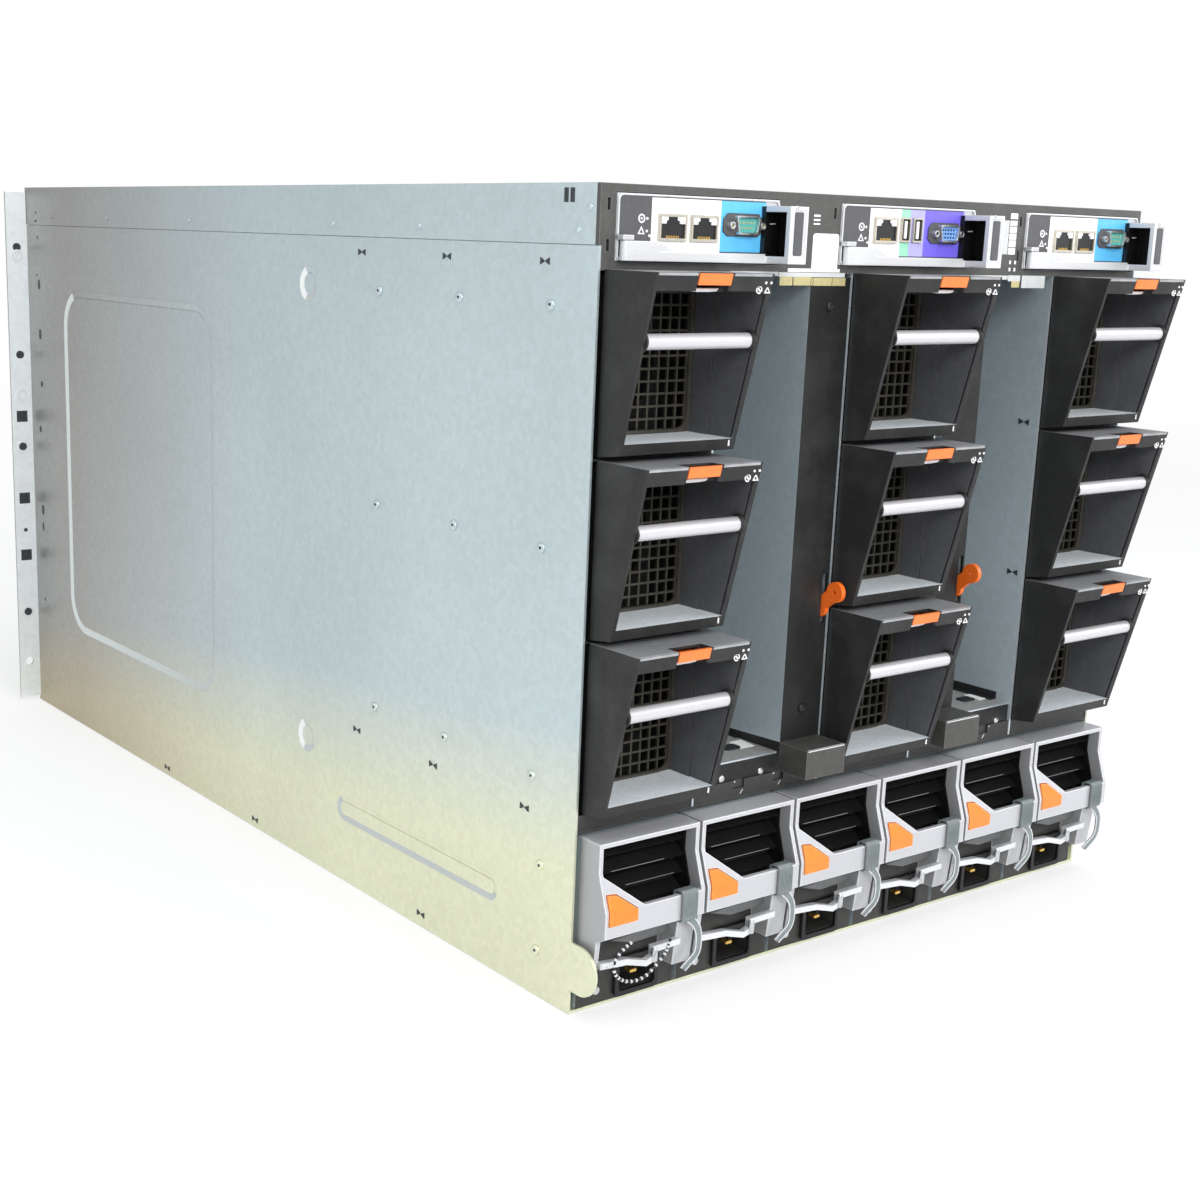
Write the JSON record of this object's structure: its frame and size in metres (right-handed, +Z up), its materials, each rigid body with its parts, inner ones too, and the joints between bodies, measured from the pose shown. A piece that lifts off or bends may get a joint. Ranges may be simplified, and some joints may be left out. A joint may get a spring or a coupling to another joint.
{
  "type": "blade server chassis",
  "caption": "Rack enclosure for blade servers with pull-out fan units, power supplies, controller modules and filler panels at its service side.",
  "frame": {"origin": "centre of the underside of the case, without the rack flanges and what stands out at the rear", "axes": "+Z up, +Y from the blade bays to the service side with fans and power supplies, +X to the right when the blade bays are faced"},
  "size_m": [0.4826, 0.7935, 0.44],
  "materials": {
    "galvanised": "galvanised sheet with a fine spangle",
    "black_sheet": "black powder coat",
    "fan_black": "charcoal moulded plastic with a light texture",
    "impeller_black": "black moulded plastic",
    "latch_orange": "orange moulded plastic",
    "handle_silver": "silver paint",
    "controller_black": "black coated face with silver edge",
    "board_green": "circuit board"
  },
  "bodies": {
    "root": {"base_pan": "galvanised", "side_panel_left": "galvanised", "side_panel_right": "galvanised", "top_cover": "galvanised", "controller_cage": "black_sheet", "bay_walls": "galvanised", "bay_shelves": "black_sheet", "midplane": "board_green", "blade_cage": "galvanised", "blade_mid_shelf": "galvanised", "front_grille": "black_sheet"},
    "blank_1": {"io_blank_1": "black_sheet"},
    "blank_latch_body_1": {"blank_latch_1": "latch_orange"},
    "blank_2": {"io_blank_2": "black_sheet"},
    "blank_latch_body_2": {"blank_latch_2": "latch_orange"},
    "controller_1": {"controller_module_1": "controller_black"},
    "controller_lever_body_1": {"controller_lever_1": "handle_silver"},
    "controller_2": {"controller_module_2": "controller_black"},
    "controller_lever_body_2": {"controller_lever_2": "handle_silver"},
    "controller_3": {"controller_module_3": "controller_black"},
    "controller_lever_body_3": {"controller_lever_3": "handle_silver"},
    "psu_1": {"psu_case_1": "handle_silver"},
    "psu_latch_body_1": {"psu_latch_1": "latch_orange"},
    "psu_2": {"psu_case_2": "handle_silver"},
    "psu_latch_body_2": {"psu_latch_2": "latch_orange"},
    "psu_3": {"psu_case_3": "handle_silver"},
    "psu_latch_body_3": {"psu_latch_3": "latch_orange"},
    "psu_4": {"psu_case_4": "handle_silver"},
    "psu_latch_body_4": {"psu_latch_4": "latch_orange"},
    "psu_5": {"psu_case_5": "handle_silver"},
    "psu_latch_body_5": {"psu_latch_5": "latch_orange"},
    "psu_6": {"psu_case_6": "handle_silver"},
    "psu_latch_body_6": {"psu_latch_6": "latch_orange"},
    "fan_1": {"fan_housing_1": "fan_black"},
    "fan_impeller_body_1": {"fan_impeller_1": "impeller_black"},
    "fan_latch_body_1": {"fan_latch_1": "latch_orange"},
    "fan_2": {"fan_housing_2": "fan_black"},
    "fan_impeller_body_2": {"fan_impeller_2": "impeller_black"},
    "fan_latch_body_2": {"fan_latch_2": "latch_orange"},
    "fan_3": {"fan_housing_3": "fan_black"},
    "fan_impeller_body_3": {"fan_impeller_3": "impeller_black"},
    "fan_latch_body_3": {"fan_latch_3": "latch_orange"},
    "fan_4": {"fan_housing_4": "fan_black"},
    "fan_impeller_body_4": {"fan_impeller_4": "impeller_black"},
    "fan_latch_body_4": {"fan_latch_4": "latch_orange"},
    "fan_5": {"fan_housing_5": "fan_black"},
    "fan_impeller_body_5": {"fan_impeller_5": "impeller_black"},
    "fan_latch_body_5": {"fan_latch_5": "latch_orange"},
    "fan_6": {"fan_housing_6": "fan_black"},
    "fan_impeller_body_6": {"fan_impeller_6": "impeller_black"},
    "fan_latch_body_6": {"fan_latch_6": "latch_orange"},
    "fan_7": {"fan_housing_7": "fan_black"},
    "fan_impeller_body_7": {"fan_impeller_7": "impeller_black"},
    "fan_latch_body_7": {"fan_latch_7": "latch_orange"},
    "fan_8": {"fan_housing_8": "fan_black"},
    "fan_impeller_body_8": {"fan_impeller_8": "impeller_black"},
    "fan_latch_body_8": {"fan_latch_8": "latch_orange"},
    "fan_9": {"fan_housing_9": "fan_black"},
    "fan_impeller_body_9": {"fan_impeller_9": "impeller_black"},
    "fan_latch_body_9": {"fan_latch_9": "latch_orange"}
  },
  "joints": [
    {"name": "blank_slide_1", "type": "slide", "parent": "root", "child": "blank_1", "axis": [0, 1, 0], "range_m": [0, 0.13]},
    {"name": "blank_latch_turn_1", "type": "hinge", "parent": "blank_1", "child": "blank_latch_body_1", "pos_m": [0.0448, 0.374, 0.2086], "axis": [-1, 0, 0], "range_deg": [0, 50]},
    {"name": "blank_slide_2", "type": "slide", "parent": "root", "child": "blank_2", "axis": [0, 1, 0], "range_m": [0, 0.13]},
    {"name": "blank_latch_turn_2", "type": "hinge", "parent": "blank_2", "child": "blank_latch_body_2", "pos_m": [-0.0756, 0.374, 0.2086], "axis": [-1, 0, 0], "range_deg": [0, 50]},
    {"name": "controller_slide_1", "type": "slide", "parent": "root", "child": "controller_1", "axis": [0, 1, 0], "range_m": [0, 0.19]},
    {"name": "controller_lever_swing_1", "type": "hinge", "parent": "controller_1", "child": "controller_lever_body_1", "pos_m": [0.2096, 0.3804, 0.4075], "axis": [0, 0, -1], "range_deg": [0, 45]},
    {"name": "controller_slide_2", "type": "slide", "parent": "root", "child": "controller_2", "axis": [0, 1, 0], "range_m": [0, 0.19]},
    {"name": "controller_lever_swing_2", "type": "hinge", "parent": "controller_2", "child": "controller_lever_body_2", "pos_m": [0.0491, 0.3804, 0.4075], "axis": [0, 0, -1], "range_deg": [0, 45]},
    {"name": "controller_slide_3", "type": "slide", "parent": "root", "child": "controller_3", "axis": [0, 1, 0], "range_m": [0, 0.19]},
    {"name": "controller_lever_swing_3", "type": "hinge", "parent": "controller_3", "child": "controller_lever_body_3", "pos_m": [-0.1114, 0.3804, 0.4075], "axis": [0, 0, -1], "range_deg": [0, 45]},
    {"name": "psu_slide_1", "type": "slide", "parent": "root", "child": "psu_1", "axis": [0, 1, 0], "range_m": [0, 0.22]},
    {"name": "psu_latch_press_1", "type": "slide", "parent": "psu_1", "child": "psu_latch_body_1", "axis": [0, -1, 0], "range_m": [0, 0.003], "stiffness_N_per_m": 300, "springref_m": -0.004},
    {"name": "psu_slide_2", "type": "slide", "parent": "root", "child": "psu_2", "axis": [0, 1, 0], "range_m": [0, 0.22]},
    {"name": "psu_latch_press_2", "type": "slide", "parent": "psu_2", "child": "psu_latch_body_2", "axis": [0, -1, 0], "range_m": [0, 0.003], "stiffness_N_per_m": 300, "springref_m": -0.004},
    {"name": "psu_slide_3", "type": "slide", "parent": "root", "child": "psu_3", "axis": [0, 1, 0], "range_m": [0, 0.22]},
    {"name": "psu_latch_press_3", "type": "slide", "parent": "psu_3", "child": "psu_latch_body_3", "axis": [0, -1, 0], "range_m": [0, 0.003], "stiffness_N_per_m": 300, "springref_m": -0.004},
    {"name": "psu_slide_4", "type": "slide", "parent": "root", "child": "psu_4", "axis": [0, 1, 0], "range_m": [0, 0.22]},
    {"name": "psu_latch_press_4", "type": "slide", "parent": "psu_4", "child": "psu_latch_body_4", "axis": [0, -1, 0], "range_m": [0, 0.003], "stiffness_N_per_m": 300, "springref_m": -0.004},
    {"name": "psu_slide_5", "type": "slide", "parent": "root", "child": "psu_5", "axis": [0, 1, 0], "range_m": [0, 0.22]},
    {"name": "psu_latch_press_5", "type": "slide", "parent": "psu_5", "child": "psu_latch_body_5", "axis": [0, -1, 0], "range_m": [0, 0.003], "stiffness_N_per_m": 300, "springref_m": -0.004},
    {"name": "psu_slide_6", "type": "slide", "parent": "root", "child": "psu_6", "axis": [0, 1, 0], "range_m": [0, 0.22]},
    {"name": "psu_latch_press_6", "type": "slide", "parent": "psu_6", "child": "psu_latch_body_6", "axis": [0, -1, 0], "range_m": [0, 0.003], "stiffness_N_per_m": 300, "springref_m": -0.004},
    {"name": "fan_slide_1", "type": "slide", "parent": "root", "child": "fan_1", "axis": [0, 1, 0], "range_m": [0, 0.14]},
    {"name": "fan_spin_1", "type": "hinge", "parent": "fan_1", "child": "fan_impeller_body_1", "pos_m": [0.18, 0.327, 0.3504], "axis": [0, 1, 0], "continuous": true},
    {"name": "fan_latch_press_1", "type": "hinge", "parent": "fan_1", "child": "fan_latch_body_1", "pos_m": [0.18, 0.384, 0.3933], "axis": [-1, 0, 0], "range_deg": [0, 3], "stiffness_Nm_per_rad": 0.1, "springref_deg": -8.59},
    {"name": "fan_slide_2", "type": "slide", "parent": "root", "child": "fan_2", "axis": [0, 1, 0], "range_m": [0, 0.14]},
    {"name": "fan_spin_2", "type": "hinge", "parent": "fan_2", "child": "fan_impeller_body_2", "pos_m": [0, 0.327, 0.3504], "axis": [0, 1, 0], "continuous": true},
    {"name": "fan_latch_press_2", "type": "hinge", "parent": "fan_2", "child": "fan_latch_body_2", "pos_m": [0, 0.384, 0.3933], "axis": [-1, 0, 0], "range_deg": [0, 3], "stiffness_Nm_per_rad": 0.1, "springref_deg": -8.59},
    {"name": "fan_slide_3", "type": "slide", "parent": "root", "child": "fan_3", "axis": [0, 1, 0], "range_m": [0, 0.14]},
    {"name": "fan_spin_3", "type": "hinge", "parent": "fan_3", "child": "fan_impeller_body_3", "pos_m": [-0.18, 0.327, 0.3504], "axis": [0, 1, 0], "continuous": true},
    {"name": "fan_latch_press_3", "type": "hinge", "parent": "fan_3", "child": "fan_latch_body_3", "pos_m": [-0.18, 0.384, 0.3933], "axis": [-1, 0, 0], "range_deg": [0, 3], "stiffness_Nm_per_rad": 0.1, "springref_deg": -8.59},
    {"name": "fan_slide_4", "type": "slide", "parent": "root", "child": "fan_4", "axis": [0, 1, 0], "range_m": [0, 0.14]},
    {"name": "fan_spin_4", "type": "hinge", "parent": "fan_4", "child": "fan_impeller_body_4", "pos_m": [0.18, 0.327, 0.2551], "axis": [0, 1, 0], "continuous": true},
    {"name": "fan_latch_press_4", "type": "hinge", "parent": "fan_4", "child": "fan_latch_body_4", "pos_m": [0.18, 0.384, 0.298], "axis": [-1, 0, 0], "range_deg": [0, 3], "stiffness_Nm_per_rad": 0.1, "springref_deg": -8.59},
    {"name": "fan_slide_5", "type": "slide", "parent": "root", "child": "fan_5", "axis": [0, 1, 0], "range_m": [0, 0.14]},
    {"name": "fan_spin_5", "type": "hinge", "parent": "fan_5", "child": "fan_impeller_body_5", "pos_m": [0, 0.327, 0.2551], "axis": [0, 1, 0], "continuous": true},
    {"name": "fan_latch_press_5", "type": "hinge", "parent": "fan_5", "child": "fan_latch_body_5", "pos_m": [0, 0.384, 0.298], "axis": [-1, 0, 0], "range_deg": [0, 3], "stiffness_Nm_per_rad": 0.1, "springref_deg": -8.59},
    {"name": "fan_slide_6", "type": "slide", "parent": "root", "child": "fan_6", "axis": [0, 1, 0], "range_m": [0, 0.14]},
    {"name": "fan_spin_6", "type": "hinge", "parent": "fan_6", "child": "fan_impeller_body_6", "pos_m": [-0.18, 0.327, 0.2551], "axis": [0, 1, 0], "continuous": true},
    {"name": "fan_latch_press_6", "type": "hinge", "parent": "fan_6", "child": "fan_latch_body_6", "pos_m": [-0.18, 0.384, 0.298], "axis": [-1, 0, 0], "range_deg": [0, 3], "stiffness_Nm_per_rad": 0.1, "springref_deg": -8.59},
    {"name": "fan_slide_7", "type": "slide", "parent": "root", "child": "fan_7", "axis": [0, 1, 0], "range_m": [0, 0.14]},
    {"name": "fan_spin_7", "type": "hinge", "parent": "fan_7", "child": "fan_impeller_body_7", "pos_m": [0.18, 0.327, 0.1598], "axis": [0, 1, 0], "continuous": true},
    {"name": "fan_latch_press_7", "type": "hinge", "parent": "fan_7", "child": "fan_latch_body_7", "pos_m": [0.18, 0.384, 0.2027], "axis": [-1, 0, 0], "range_deg": [0, 3], "stiffness_Nm_per_rad": 0.1, "springref_deg": -8.59},
    {"name": "fan_slide_8", "type": "slide", "parent": "root", "child": "fan_8", "axis": [0, 1, 0], "range_m": [0, 0.14]},
    {"name": "fan_spin_8", "type": "hinge", "parent": "fan_8", "child": "fan_impeller_body_8", "pos_m": [0, 0.327, 0.1598], "axis": [0, 1, 0], "continuous": true},
    {"name": "fan_latch_press_8", "type": "hinge", "parent": "fan_8", "child": "fan_latch_body_8", "pos_m": [0, 0.384, 0.2027], "axis": [-1, 0, 0], "range_deg": [0, 3], "stiffness_Nm_per_rad": 0.1, "springref_deg": -8.59},
    {"name": "fan_slide_9", "type": "slide", "parent": "root", "child": "fan_9", "axis": [0, 1, 0], "range_m": [0, 0.14]},
    {"name": "fan_spin_9", "type": "hinge", "parent": "fan_9", "child": "fan_impeller_body_9", "pos_m": [-0.18, 0.327, 0.1598], "axis": [0, 1, 0], "continuous": true},
    {"name": "fan_latch_press_9", "type": "hinge", "parent": "fan_9", "child": "fan_latch_body_9", "pos_m": [-0.18, 0.384, 0.2027], "axis": [-1, 0, 0], "range_deg": [0, 3], "stiffness_Nm_per_rad": 0.1, "springref_deg": -8.59}
  ]
}
